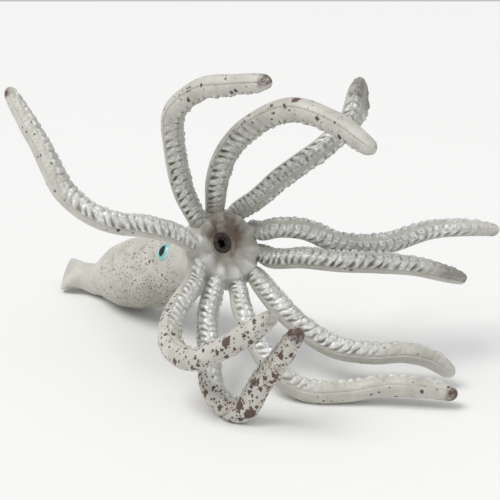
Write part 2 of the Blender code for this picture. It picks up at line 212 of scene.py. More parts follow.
def skin(name, points, masks, material, ring=False):
    """A closed skin over a grid of points in millimetres, rows along the piece and columns round it. Quads
    join the rows, and a fan closes each end on its row's middle. In a ring the last row meets the first, and
    the two middles are left out. Masks are values from 0 to 1 per point."""
    rows, columns = points.shape[:2]
    places = np.concatenate([points.reshape(-1, 3), [points[0].mean(0)], [points[-1].mean(0)]])
    here = np.arange(rows * columns).reshape(rows, columns)
    beside, below = np.roll(here, -1, axis=1), np.roll(here, -1, axis=0)
    quads = np.stack([here, beside, np.roll(below, -1, axis=1), below], axis=-1)
    quads = quads.reshape(-1) if ring else quads[:-1].reshape(-1)
    first, last = rows * columns, rows * columns + 1
    start = np.stack([np.full(columns, first), beside[0], here[0]], axis=-1)
    end = np.stack([np.full(columns, last), here[-1], beside[-1]], axis=-1)
    fans = np.zeros(0, int) if ring else np.concatenate([start.reshape(-1), end.reshape(-1)])
    places = places[:-2] if ring else places
    corners = np.concatenate([quads, fans])
    sizes = np.concatenate([np.full(len(quads) // 4, 4), np.full(len(fans) // 3, 3)])
    mesh = bpy.data.meshes.new(name)
    mesh.vertices.add(len(places))
    mesh.vertices.foreach_set("co", (places * MM).astype(np.float32).reshape(-1))
    mesh.loops.add(len(corners))
    mesh.loops.foreach_set("vertex_index", corners.astype(np.int32))
    mesh.polygons.add(len(sizes))
    mesh.polygons.foreach_set("loop_start", (np.cumsum(sizes) - sizes).astype(np.int32))
    mesh.polygons.foreach_set("use_smooth", np.ones(len(sizes), bool))
    mesh.update(calc_edges=True)
    mesh.validate()
    for label, values in masks.items():
        layer = mesh.attributes.new(label, "FLOAT", "POINT")
        full = np.concatenate([values.reshape(-1), [values[0].mean()], [values[-1].mean()]])
        layer.data.foreach_set("value", full[:len(places)].astype(np.float32))
    mesh.materials.append(material)
    obj = bpy.data.objects.new(name, mesh)
    bpy.context.scene.collection.objects.link(obj)
    return obj


def body_rows():
    """Per row: the distance travelled along the outline, the distance behind the crown, and the radius. The
    rows run up the mouth's pit, out over the crown's cup, back along the head's axis to the nape, then along
    the mantle's axis to the fin's rounded end. The outline's corners are rounded by averaging."""
    # (distance behind the crown, radius): the pit, the cup's floor, the crown's slope and the cheeks.
    front = ((2.6, 0.4), (2.6, 3.0), (0.5, 3.6), (-3.2, 3.7), (-4.3, 4.4), (-4.2, 5.6), (-4.0, 7.6),
             (-3.6, 10.2), (0.0, 13.6), (4.4, 16.2), (7.5, 16.5), (12.0, 16.2))
    # Behind them, the soft waist at the collar and the mantle's bulge, down to the stalk.
    rear = ((20.0, 15.7), (27.0, 15.5), (31.5, 15.5), (36.5, 16.5), (46.0, 17.5), (59.0, 18.1),
            (72.5, 18.0), (84.0, 16.5), (94.0, 13.2), (103.0, 9.8), (112.0, 8.6))
    steps = [np.hypot(b[0] - a[0], b[1] - a[1]) for a, b in zip(front, front[1:])]
    front_along = np.cumsum([0.0] + steps)
    front_end = front_along[-1]
    end = front_end + HEAD_LENGTH + MANTLE_LENGTH + FIN_LENGTH - front[-1][0]
    closing = np.sin(np.linspace(0.0, np.pi / 2, FIN_END_ROWS))
    travel = np.concatenate([np.linspace(0.0, front_end, CROWN_ROWS, endpoint=False),
                             np.linspace(front_end, end - FIN_END, MANTLE_ROWS, endpoint=False),
                             end - FIN_END * (1 - closing)])
    behind = softened(travel, [*zip(front_along, [a for a, _ in front]),
                               (front_end + 200.0, front[-1][0] + 200.0)], 0.8)
    radius = softened(travel, [*zip(front_along, [r for _, r in front]),
                               *[(front_end + a - front[-1][0], r) for a, r in rear]], 2.4)
    radius[0] = 0.4
    return travel, behind, radius


def fin_shape(behind, radius):
    """(half span, half height, lift, droop, thinning) of each row. Through the fin the stalk's circle spreads
    to the full span, thins, and lifts, and its edges droop; the last rows draw in along a rounded outline."""
    start = HEAD_LENGTH + MANTLE_LENGTH
    along = np.clip((behind - start) / FIN_LENGTH, 0.0, 1.0)
    spread = softened(along, ((-1, 0), (0, 0), (0.2, 0.12), (0.4, 0.42), (0.6, 0.8), (0.78, 1.0),
                              (1, 0.98)), 0.16)
    thinning = softened(along, ((-1, 0), (0, 0), (0.2, 0.17), (0.4, 0.42), (0.6, 0.67), (0.8, 0.84),
                                (1, 1)), 0.16)
    close = (1 - np.clip((along - 0.34) / 0.66, 0.0, 1.0) ** 2.3) ** (1 / 2.1)
    thin_close = np.sqrt(1 - np.clip((along - 0.80) / 0.20, 0.0, 1.0) ** 2)
    half_span = (radius + (FIN_HALF_SPAN - radius) * spread) * np.maximum(close, 0.02)
    half_height = (radius + (FIN_HALF_HEIGHT - radius) * thinning) * np.maximum(thin_close, 0.02)
    lift = FIN_LIFT * along ** 1.3
    droop = FIN_DROOP * spread * thinning * (0.35 + 0.65 * close)
    return half_span, half_height, lift, droop, thinning


def body_grid():
    """The body's points: each row is an ellipse round its middle, x = a cos and y = b sin, and the fin's
    rows add a lift, less the droop times |cos|^1.5. Nothing goes below the table. Returns the rows' travel
    and distance behind the crown, the turn of each column, and the points."""
    travel, behind, radius = body_rows()
    half_span, half_height, lift, droop, thinning = fin_shape(behind, radius)
    bend = ease(behind, HEAD_LENGTH - 9.0, HEAD_LENGTH + 9.0)[:, None]
    on_head = crown - behind[:, None] * forward
    on_mantle = nape - (behind[:, None] - HEAD_LENGTH) * mantle_forward
    middle = on_head * (1 - bend) + on_mantle * bend
    across = unit(side * (1 - bend) + np.array([1.0, 0.0, 0.0]) * bend)
    above = unit(up * (1 - bend) + mantle_up * bend)
    to_mouth = (1 - ease(radius, 4.5, 12.0)) * (behind < 3.0)
    middle = middle + to_mouth[:, None] * (MOUTH_SHIFT[0] * side + MOUTH_SHIFT[1] * up)
    turn = np.linspace(0.0, 2 * np.pi, BODY_ROUND, endpoint=False)[None]
    edge = np.abs(np.cos(turn))
    x = half_span[:, None] * np.cos(turn)
    y = -half_height[:, None] * np.sin(turn) * (1 - 0.35 * thinning[:, None] * edge)
    y = y + lift[:, None] - droop[:, None] * edge ** 1.5
    points = middle[:, None] + x[..., None] * across[:, None] + y[..., None] * above[:, None]
    points[..., 2] = np.maximum(points[..., 2], TABLE_GAP)
    return travel, behind, turn, points


def draw_webs(points, behind):
    """Draws the vinyl up round each arm: a point near an arm's own line moves along that line, by less the
    further off it is, and where two webs meet the moves are averaged."""
    offset = points[:, :, None] - arm_roots
    along = (offset * arm_leads).sum(-1)
    apart = np.linalg.norm(offset - along[..., None] * arm_leads, axis=-1)
    near = (1 - ease(apart, 3.4, 7.2)) * (behind < 14.0)[:, None, None] * (along > -9.0)
    total = near.sum(-1, keepdims=True)
    return points + WEB_RISE * (near[..., None] * arm_leads).sum(2) / np.maximum(total, 1.0)


def raise_spokes(points, behind):
    """Ridges on the crown's floor that carry each arm's inner face on towards the mouth, with cross folds
    about every 2 mm along them. Returns the points and how far each lies on a ridge, from 0 to 1."""
    offset = points - crown
    out = np.einsum("rcx,ax->rca", offset, arm_outwards)
    flat = offset - (offset @ forward)[..., None] * forward
    aside = np.sqrt(np.maximum((flat ** 2).sum(-1)[..., None] - out ** 2, 0.0)) + 9.0 * (out < 0)
    ridge = (1 - ease(aside, 0.4, 4.2)) * ease(out, 4.8, 12.0) * (behind < 5.0)[:, None, None]
    height = 2.0 * ridge + 0.38 * ridge ** 0.5 * ripple(2.9 * out, 0.8 * aside, 6, 11)
    tallest = height.max(-1)
    return points + tallest[..., None] * forward, np.clip(ridge.max(-1), 0, 1)


def fold_mouth(points, behind):
    """Fine folds round the mouth: a wave of 1.7 mm over the distance from the mouth, strongest below it."""
    offset = points - mouth
    reach = np.linalg.norm(offset - (offset @ forward)[..., None] * forward, axis=-1)
    below = 0.55 - 0.45 * (offset @ up) / np.maximum(reach, 0.1)
    band = ease(reach, 4.3, 5.6) * (1 - ease(reach, 7.5, 10.5)) * (behind < 0.0)[:, None]
    bent = reach + 0.35 * ripple(offset @ side * 0.8, offset @ up * 0.8, 5, 31)
    return points + (0.26 * below * band * np.cos(2 * np.pi * bent / 1.7))[..., None] * forward


def eye_frame(name):
    """The middle of an eye's ball, the way it looks, out and a little forward, and two directions across it:
    towards the mouth and up."""
    middle = np.mean(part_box(name), axis=0) / MM
    outwards = unit(middle - crown - ((middle - crown) @ forward) * forward)
    looking = np.cos(EYE_TURN) * outwards + np.sin(EYE_TURN) * forward
    onward = np.cos(EYE_TURN) * forward - np.sin(EYE_TURN) * outwards
    rising = np.cross(looking, onward)
    return middle, looking, onward, rising if rising[2] > 0 else -rising


def sink_sockets(points):
    """A shallow flat bed under each eye with a raised lid round it, thicker low down and towards the mouth.
    Distances are measured as an ellipse, so that 1 is the eye's own edge."""
    for name in EYES:
        middle, looking, onward, rising = eye_frame(name)
        offset = points - middle
        x, y, height = offset @ onward, offset @ rising, offset @ looking
        apart = np.hypot(x / EYE_LONG, y / EYE_TALL) + 9.0 * (height < -6.0)
        heavy = 0.6 + 0.4 * (0.6 * x / EYE_LONG - 0.8 * y / EYE_TALL) / np.maximum(apart, 0.2)
        lid = np.exp(-((apart - 1.17) / 0.13) ** 2) * heavy
        bed = 1 - ease(apart, 0.95, 1.75)
        points = points + (bed * np.minimum(EYE_RAISED + 0.1 - height, 0.0) + 0.34 * lid)[..., None] * looking
    return points


def add_node(tree, kind, inputs=(), **settings):
    """A node with these settings. Its inputs take a value, or a link where another socket is given."""
    node = tree.nodes.new(kind)
    for key, value in settings.items():
        setattr(node, key, value)
    for key, value in dict(inputs).items():
        if isinstance(value, bpy.types.NodeSocket):
            tree.links.new(value, node.inputs[key])
        else:
            node.inputs[key].default_value = value
    return node


def sum_up(tree, operation, first, second=0.0, third=0.0, clamped=False):
    """The result of one sum on two values, or on three where the operation takes three."""
    inputs = {0: first, 1: second, 2: third}
    return add_node(tree, "ShaderNodeMath", inputs, operation=operation, use_clamp=clamped).outputs[0]


def vector_sum(tree, operation, first, second):
    """The result of one sum on two vectors, or on a vector and its scale."""
    other = "Scale" if operation == "SCALE" else 1
    node = add_node(tree, "ShaderNodeVectorMath", {0: first, other: second}, operation=operation)
    return node.outputs[0]


def noise(tree, place, scale, detail, roughness=0.5):
    """Cloudy noise over these coordinates. Returns its outputs, Fac and Color."""
    inputs = {"Vector": place, "Scale": scale, "Detail": detail, "Roughness": roughness}
    return add_node(tree, "ShaderNodeTexNoise", inputs).outputs


def paint_over(tree, amount, under, over):
    """The colour under, covered by the colour over as much as amount says."""
    node = add_node(tree, "ShaderNodeMix", {0: amount, 6: under, 7: over}, data_type="RGBA")
    return node.outputs[2]


def mask_of(tree, name):
    """A mask that was stored on the skin's points."""
    return add_node(tree, "ShaderNodeAttribute", attribute_name=name).outputs["Fac"]


def colour(red, green, blue):
    """An opaque colour."""
    return (red, green, blue, 1.0)


def new_group(name, inputs, outputs):
    """An empty node group with these float inputs and outputs. Returns the group, its input node and its
    output node."""
    tree = bpy.data.node_groups.new(name, "ShaderNodeTree")
    for label, value in inputs.items():
        socket = tree.interface.new_socket(label, in_out="INPUT", socket_type="NodeSocketFloat")
        socket.default_value = value
    for label in outputs:
        tree.interface.new_socket(label, in_out="OUTPUT", socket_type="NodeSocketFloat")
    return tree, tree.nodes.new("NodeGroupInput"), tree.nodes.new("NodeGroupOutput")


def make_spatter():
    """Flicked paint: one ball per cell of a grid of this size, kept in a share of the cells, each with its
    own radius. Where the balls meet the surface they leave dots, and a little noise makes the dots ragged."""
    inputs = {"Cell mm": 1.5, "Share": 0.4, "Radius": 0.3, "Stretch": 1.0, "Seed": 0.0}
    tree, given, out = new_group("spatter", inputs, ("Mask",))
    place = add_node(tree, "ShaderNodeTexCoord").outputs["Object"]
    pace = sum_up(tree, "DIVIDE", 1 / MM, given.outputs["Cell mm"])
    tall = add_node(tree, "ShaderNodeCombineXYZ", {"X": 1.0, "Y": 1.0, "Z": given.outputs["Stretch"]})
    cells = vector_sum(tree, "MULTIPLY", place, tall.outputs[0])
    cells = vector_sum(tree, "SCALE", cells, pace)
    cells = vector_sum(tree, "ADD", cells, given.outputs["Seed"])
    rag = noise(tree, cells, 2.6, 1.0)["Color"]
    rag = vector_sum(tree, "SUBTRACT", rag, (0.5, 0.5, 0.5))
    cells = vector_sum(tree, "ADD", cells, vector_sum(tree, "SCALE", rag, 0.55))
    balls = add_node(tree, "ShaderNodeTexVoronoi", {"Vector": cells, "Scale": 1.0})
    chance = add_node(tree, "ShaderNodeSeparateColor", {0: balls.outputs["Color"]})
    kept = sum_up(tree, "LESS_THAN", chance.outputs[0], given.outputs["Share"])
    reach = sum_up(tree, "MULTIPLY_ADD", chance.outputs[1], 0.6, 0.4)
    reach = sum_up(tree, "MULTIPLY", reach, given.outputs["Radius"])
    inside = sum_up(tree, "SUBTRACT", reach, balls.outputs["Distance"])
    inside = sum_up(tree, "MULTIPLY", inside, 18.0, clamped=True)
    tree.links.new(sum_up(tree, "MULTIPLY", kept, inside), out.inputs["Mask"])
    return tree


def make_grain():
    """The vinyl's skin: faint mottling for colour and gloss, and a fine orange peel for the bump."""
    tree, _, out = new_group("vinyl_grain", {}, ("Mottle", "Peel"))
    place = add_node(tree, "ShaderNodeTexCoord").outputs["Object"]
    tree.links.new(noise(tree, place, 130.0, 4.0, 0.6)["Fac"], out.inputs["Mottle"])
    tree.links.new(noise(tree, place, 1400.0, 3.0)["Fac"], out.inputs["Peel"])
    return tree


def dots(tree, cell, share, radius, seed, stretch=1.0):
    """Dots of flicked paint from the spatter group. The share may be a mask."""
    inputs = {"Cell mm": cell, "Share": share, "Radius": radius, "Stretch": stretch, "Seed": seed}
    group = bpy.data.node_groups["spatter"]
    return add_node(tree, "ShaderNodeGroup", inputs, node_tree=group).outputs["Mask"]


def new_vinyl(name):
    """A vinyl material with its grain. Returns the material, its tree, its shader and the mottling."""
    material = bpy.data.materials.new(name)
    material.use_nodes = True
    tree = material.node_tree
    shader = tree.nodes["Principled BSDF"]
    grain = add_node(tree, "ShaderNodeGroup", node_tree=bpy.data.node_groups["vinyl_grain"])
    peel = {"Height": grain.outputs["Peel"], "Distance": 0.06 * MM, "Strength": 0.35}
    bump = add_node(tree, "ShaderNodeBump", peel)
    tree.links.new(bump.outputs[0], shader.inputs["Normal"])
    return material, tree, shader, grain.outputs["Mottle"]


CREAM = colour(0.60, 0.585, 0.53)
SHADED_CREAM = colour(0.44, 0.425, 0.375)
# The underside's darker olive: partly the vinyl's own wash, partly painted shade.
BELLY_OLIVE_AND_SHADE = colour(0.25, 0.24, 0.20)
MOUTH_OLIVE = colour(0.25, 0.23, 0.175)
MOUTH_BROWN = colour(0.15, 0.10, 0.075)
PEARL = colour(0.87, 0.89, 0.89)
# Near-black brown: the dots' paint, and painted shade in the mouth's pit.
DOT_AND_PIT_SHADE_BROWN = colour(0.035, 0.022, 0.015)


def band_of(tree, value, low, high, top=1.0):
    """The value brought from low..high to 0..top, held at both ends."""
    inputs = {"Value": value, "From Min": low, "From Max": high, "To Max": top}
    return add_node(tree, "ShaderNodeMapRange", inputs).outputs[0]


def stain_mouth(tree, base, mottle):
    """Colour over the base round the mouth: an uneven olive wash far out and brown close in."""
    mask = mask_of(tree, "mouth_wash")
    uneven = band_of(tree, mottle, 0.36, 0.64)
    far = sum_up(tree, "MULTIPLY", mask, sum_up(tree, "ADD", uneven, 0.35), clamped=True)
    close = band_of(tree, mask, 0.62, 0.95)
    near = sum_up(tree, "MULTIPLY", close, sum_up(tree, "ADD", uneven, 0.25), clamped=True)
    return paint_over(tree, near, paint_over(tree, far, base, MOUTH_OLIVE), MOUTH_BROWN)


def paint_body():
    """Cream vinyl, mottled; a wash round the mouth; the mouth's pit painted near-black brown as painted
    shade;
    the underside darker towards the belly, partly a thin olive wash and partly painted shade; small dark
    dots; a few longer blots by the eyes; pearl on the ridges of the crown."""
    material, tree, shader, mottle = new_vinyl("body_vinyl")
    base = paint_over(tree, band_of(tree, mottle, 0.35, 0.75), CREAM, SHADED_CREAM)
    low = sum_up(tree, "MULTIPLY", mask_of(tree, "belly"), sum_up(tree, "ADD", mottle, 0.2), clamped=True)
    # Darker towards the belly: partly a thin olive wash, partly painted shade.
    base = paint_over(tree, low, base, BELLY_OLIVE_AND_SHADE)
    base = paint_over(tree, sum_up(tree, "MULTIPLY", mask_of(tree, "pearl"), 0.35), base, PEARL)
    base = stain_mouth(tree, base, mottle)
    # Painted shade: the mouth's pit is painted near-black brown.
    base = paint_over(tree, mask_of(tree, "pit"), base, DOT_AND_PIT_SHADE_BROWN)
    freckles = mask_of(tree, "freckles")
    fine = dots(tree, 0.95, sum_up(tree, "MULTIPLY", freckles, 0.85), 0.52, 3.1)
    fine = sum_up(tree, "MULTIPLY", fine, 0.75)
    middling = dots(tree, 1.9, sum_up(tree, "MULTIPLY", freckles, 0.30), 0.38, 7.7)
    blots = dots(tree, 4.4, mask_of(tree, "blots"), 0.36, 1.3, 0.7)
    marks = sum_up(tree, "MAXIMUM", sum_up(tree, "MAXIMUM", fine, middling), blots)
    marks = sum_up(tree, "MULTIPLY", marks, 0.94)
    tree.links.new(paint_over(tree, marks, base, DOT_AND_PIT_SHADE_BROWN), shader.inputs["Base Color"])
    rough = sum_up(tree, "MULTIPLY_ADD", mottle, 0.16, 0.40)
    tree.links.new(rough, shader.inputs["Roughness"])
    return material


make_spatter()
make_grain()
travel, behind, turn, body_points = body_grid()
body_points = draw_webs(body_points, behind)
body_points, spokes = raise_spokes(body_points, behind)
body_points = fold_mouth(body_points, behind)
body_points = sink_sockets(body_points)
wash_middle = mouth + 2.4 * up + 1.6 * side
mouth_wash = 1 - ease(np.linalg.norm(body_points - wash_middle, axis=-1), 4.5, 17.5)
eye_middles = np.array([eye_frame(name)[0] for name in EYES])
from_eyes = np.linalg.norm(body_points[:, :, None] - eye_middles, axis=-1).min(-1)
clear_of_eyes = ease(from_eyes, 5.6, 7.2)
belly = 0.5 + 0.5 * np.sin(turn)
speckled = (ease(behind, 10.0, 30.0) * (1 - ease(behind, 58.0, 104.0)))[:, None]
# How far along the body the underside is darkened, partly by wash and partly as painted shade.
wash_and_shade_stretch = (ease(behind, 2.0, 12.0) * (1 - ease(behind, 84.0, 112.0)))[:, None]
blotted = (ease(behind, 16.0, 26.0) * (1 - ease(behind, 44.0, 66.0)))[:, None]
body_masks = {
    "mouth_wash": mouth_wash,
    "freckles": speckled * (0.30 + 0.70 * belly) * clear_of_eyes,
    "belly": 0.8 * wash_and_shade_stretch * ease(belly, 0.45, 1.0),
    "blots": 0.55 * blotted * (1 - ease(belly, 0.35, 0.62)) * clear_of_eyes,
    "pearl": spokes * (1 - mouth_wash),
    # The pit mask: painted shade inside the mouth's pit.
    "pit": (1 - ease(travel, 9.4, 10.4))[:, None] * np.ones(BODY_ROUND),
}
body = skin("body_skin", body_points, body_masks, paint_body())
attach(body, "body")
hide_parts("mantle", "head", "tail_fin")

# ---- The mouth: a lip ring and two beaks ---------------------------------------------------------------
# A ring of soft brown vinyl, folded like a drawn purse, sits in the mouth's pit. It carries a second,
# thinner fold on its inside. The two beaks deep in the pit are hard glossy black.
LIP_MIDDLE = 3.30
LIP_TUBE = 1.12


def lip_grid():
    """The ring's points: a tube round the mouth. Its radius swells inwards and back in a narrow fold, and two
    waves pucker it round the ring. Returns the points and the angle round the tube."""
    around = np.linspace(0.0, 2 * np.pi, 220, endpoint=False)[:, None]
    section = np.linspace(-np.pi, np.pi, 56, endpoint=False)[None]
    outwards = np.cos(around)[..., None] * side + np.sin(around)[..., None] * up
    fold = np.exp(-((section + 2.0) / 0.33) ** 2)
    groove = np.exp(-((section + 1.42) / 0.22) ** 2)
    pucker = 0.07 * np.cos(13 * around + 0.8 * section) + 0.05 * np.cos(7 * around + 1.0)
    radius = LIP_TUBE * (1 + pucker) + 0.72 * fold * (1 + 0.3 * np.cos(5 * around)) - 0.25 * groove
    across = np.cos(section)[..., None] * forward + np.sin(section)[..., None] * outwards
    middle = mouth + LIP_MIDDLE * outwards
    return middle + radius[..., None] * across, section + 0 * around


def paint_lip():
    """Near-black brown, redder and lighter where the folds rise, with a damp gloss."""
    material, tree, shader, mottle = new_vinyl("lip_vinyl")
    # Lighter and redder in patches over the ring's outer face.
    patchy = sum_up(tree, "MULTIPLY", mask_of(tree, "outside"), band_of(tree, mottle, 0.4, 0.7), clamped=True)
    base = paint_over(tree, patchy, colour(0.026, 0.015, 0.012), colour(0.17, 0.10, 0.08))
    tree.links.new(base, shader.inputs["Base Color"])
    shader.inputs["Roughness"].default_value = 0.28
    return material


def paint_beak():
    """Glossy black horn with a faint brown mottling."""
    material, tree, shader, mottle = new_vinyl("beak_horn")
    black, brown = colour(0.010, 0.009, 0.008), colour(0.05, 0.032, 0.022)
    base = paint_over(tree, band_of(tree, mottle, 0.4, 0.7), black, brown)
    tree.links.new(base, shader.inputs["Base Color"])
    shader.inputs["Roughness"].default_value = 0.22
    return material


lip_points, section = lip_grid()
lip = skin("lip_ring", lip_points, {"outside": ease(np.sin(section), 0.0, 0.9)}, paint_lip(), ring=True)
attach(lip, "body")
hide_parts("mouth_ring")
beak_horn = paint_beak()
for name in ("upper_beak", "lower_beak"):
    beak = bpy.data.objects[name]
    beak.data.materials.clear()
    beak.data.materials.append(beak_horn)

# ---- The eyes -------------------------------------------------------------------------------------------
# Two low glossy domes bedded behind their lids, painted: an upright black oval for the pupil, in a
# turquoise ring that pales towards its edge.


def eye_bead(name, material):
    """One eye: an ellipsoid, x = a sin t cos r, y = b sin t sin r and height = c cos t, its rows running from
    the outward pole inwards. The pupil is an ellipse about the pole that leans forward at its top."""
    middle, looking, onward, rising = eye_frame(name)
    second = np.cross(-looking, onward)
    tilt = np.linspace(0.03, np.pi - 0.03, 64)[:, None]
    round_it = np.linspace(0.0, 2 * np.pi, 96, endpoint=False)[None]
    x = np.sin(tilt) * np.cos(round_it)
    y = np.sin(tilt) * np.sin(round_it)
    height = np.cos(tilt) + 0 * round_it
    points = (middle + EYE_LONG * x[..., None] * onward + EYE_TALL * y[..., None] * second
              + (EYE_RAISED + EYE_DOME * height)[..., None] * looking)
    rise = y * np.sign(second @ rising)
    oval = np.hypot((x - 0.14 * rise) / 0.42, rise / 0.63) + 3.0 * (height < 0)
    masks = {"pupil": 1 - ease(oval, 0.94, 1.08), "pale": ease(oval, 1.15, 2.0)}
    bead = skin(name + "_bead", points, masks, material)
    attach(bead, "body")
    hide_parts(name)


def paint_eye():
    """Black pupil on turquoise that pales outwards."""
    material, tree, shader, _ = new_vinyl("eye_paint")
    base = paint_over(tree, mask_of(tree, "pale"), colour(0.19, 0.52, 0.53), colour(0.55, 0.76, 0.74))
    base = paint_over(tree, mask_of(tree, "pupil"), base, colour(0.006, 0.008, 0.008))
    tree.links.new(base, shader.inputs["Base Color"])
    shader.inputs["Roughness"].default_value = 0.2
    return material


eye_paint = paint_eye()
for name in EYES:
    eye_bead(name, eye_paint)

# ---- The arms -------------------------------------------------------------------------------------------
# Ten arms of softer vinyl, each moulded in one piece and glued into its socket. A ledge parts the smooth
# back from the ribbed flanks, and two rows of suckers edge the inner face. Pearl silver is brushed over
# the ribs and suckers, and a dark olive wash runs in between them.
ARM_BALL = 3.4
ARM_LEAD = 5.0
ARM_TIP_SHARE = 0.72
SOCKET_DEPTH = 3.5
SUCKER_PITCH = 2.6
PITCH_GROWTH = 2.0
# The ledge's angle from the middle of the inner face, in radians.
LEDGE = 2.0
# Points along an arm, how many of them close its tip, and points round it.
ARM_ALONG = 540
TIP_ROWS = 16
ARM_ROUND = 108

# Per arm: greatest radius, how far the inner face is turned about the arm at the root and at the tip, in
# degrees, the share of the length that is ribbed, how spotted the back is, how dark the tip's dab is, how
# far the end is widened, how silvery it is, how olive its end is, and then its route. The silvery value is
# also painted light: below 1 it takes pearl away and adds grey wash and recess darkening, painted shade on
# the arms that face down, away from the lamp. The route starts at the middle of the root ball, after the
# lead. Its points are listed, so that the arm curls as it does at rest.
ARMS = (
    (4.9, 45, 80, 0.50, 0.10, 1.0, 0.00, 1.00, 0.00,
     ((-12, -1, 8), (-22, 2, 12), (-37, 12, 16), (-44, 27, 25), (-44, 45, 43), (-43, 64, 59),
      (-43, 69, 64))),
    (4.8, 15, 15, 0.42, 0.15, 0.8, 0.00, 0.70, 0.00,
     ((-7, 2, 17), (-10, 4, 37), (-11, 2, 50), (-8, -11, 60), (-7, -29, 63), (-6, -47, 65))),
    (5.2, 28, 20, 0.45, 0.22, 0.0, 0.00, 0.65, 0.00,
     ((-3, -6, 19), (-1, -11, 32), (3, -22, 43), (7, -38, 50), (8, -59, 47), (6, -80, 39))),
    (4.8, 8, 0, 0.85, 0.05, 0.3, 1.00, 0.75, 0.70,
     ((5, -11, 11), (9, -21, 21), (14, -30, 29), (21, -35, 35), (33, -35, 41), (45, -32, 48),
      (58, -25, 60))),
    (4.7, -50, -68, 0.90, 0.02, 0.4, 0.00, 0.95, 0.00,
     ((3, -9, 3), (4, -18, 6), (10, -28, 6), (21, -38, 0), (37, -48, -2), (57, -60, 3), (72, -71, 3),
      (81, -80, 2))),
    (4.8, -50, -55, 0.78, 0.02, 0.0, 0.00, 0.85, 0.62,
     ((2, -13, 0), (5, -28, 3), (12, -42, 3), (25, -53, 2), (39, -61, -1), (53, -68, -6),
      (63, -72, -10))),
    (5.1, -42, -85, 0.66, 0.03, 0.0, 0.15, 1.00, 0.15,
     ((-1, -13, -4), (-2, -24, -10), (0, -36, -17), (5, -48, -23), (14, -60, -25), (24, -70, -25),
      (30, -78, -27), (35, -87, -33))),
    (4.8, -40, -85, 0.52, 0.10, 1.0, 0.15, 1.00, 0.00,
     ((-8, -16, -9), (-11, -30, -21), (-12, -42, -28), (-8, -51, -32), (2, -63, -32), (13, -76, -29),
      (21, -87, -29), (29, -97, -31))),
    (4.9, -32, -32, 0.40, 1.00, 0.9, 0.00, 1.00, 0.00,
     ((-14, -11, -12), (-22, -21, -21), (-30, -31, -30), (-32, -41, -34), (-30, -48, -34),
      (-27, -55, -21), (-25, -63, -9), (-22, -69, 3))),
    (4.7, -35, -85, 0.40, 0.54, 0.35, 0.10, 1.00, 0.00,
     ((-9, -6, -5), (-22, -12, -10), (-33, -19, -15), (-38, -27, -19), (-38, -37, -20), (-34, -47, -15),
      (-29, -57, -7), (-24, -67, 2))),
)


def smooth_route(points):
    """A centripetal Catmull-Rom curve through the points: each stretch blends the straight lines between
    four neighbours, with steps of sqrt(distance). Returns samples along it and their distances from its
    start."""
    ends = np.vstack([2 * points[0] - points[1], points, 2 * points[-1] - points[-2]])
    samples = []
    for before, start, end, after in zip(ends, ends[1:], ends[2:], ends[3:]):
        steps = [np.linalg.norm(b - a) ** 0.5 for a, b in ((before, start), (start, end), (end, after))]
        t0, t1, t2, t3 = np.cumsum([0.0, *steps])
        t = np.linspace(t1, t2, 60, endpoint=False)[:, None]
        a = (before * (t1 - t) + start * (t - t0)) / (t1 - t0)
        b = (start * (t2 - t) + end * (t - t1)) / (t2 - t1)
        c = (end * (t3 - t) + after * (t - t2)) / (t3 - t2)
        d = (a * (t2 - t) + b * (t - t0)) / (t2 - t0)
        e = (b * (t3 - t) + c * (t - t1)) / (t3 - t1)
        samples.append((d * (t2 - t) + e * (t - t1)) / (t2 - t1))
    samples = np.vstack([*samples, points[-1:]])
    distances = np.concatenate([[0.0], np.cumsum(np.linalg.norm(np.diff(samples, axis=0), axis=1))])
    return samples, distances


def read_route(samples, distances, at):
    """The route's points at these distances; before its start it goes straight back along the lead."""
    places = np.stack([np.interp(at, distances, samples[:, axis]) for axis in range(3)], axis=-1)
    lead = unit(samples[1] - samples[0])
    return places + np.minimum(at, 0.0)[:, None] * lead


def carried_frames(places, inward):
    """Two directions across the route at each place. The first starts as inward at the root, and is carried
    along without twisting: at each step the part of it along the route is taken off again."""
    along = unit(np.gradient(places, axis=0))
    across = np.empty_like(along)
    across[0] = unit(inward - (inward @ along[0]) * along[0])
    for i in range(1, len(places)):
        across[i] = unit(across[i - 1] - (across[i - 1] @ along[i]) * along[i])
    return along, across, np.cross(along, across)


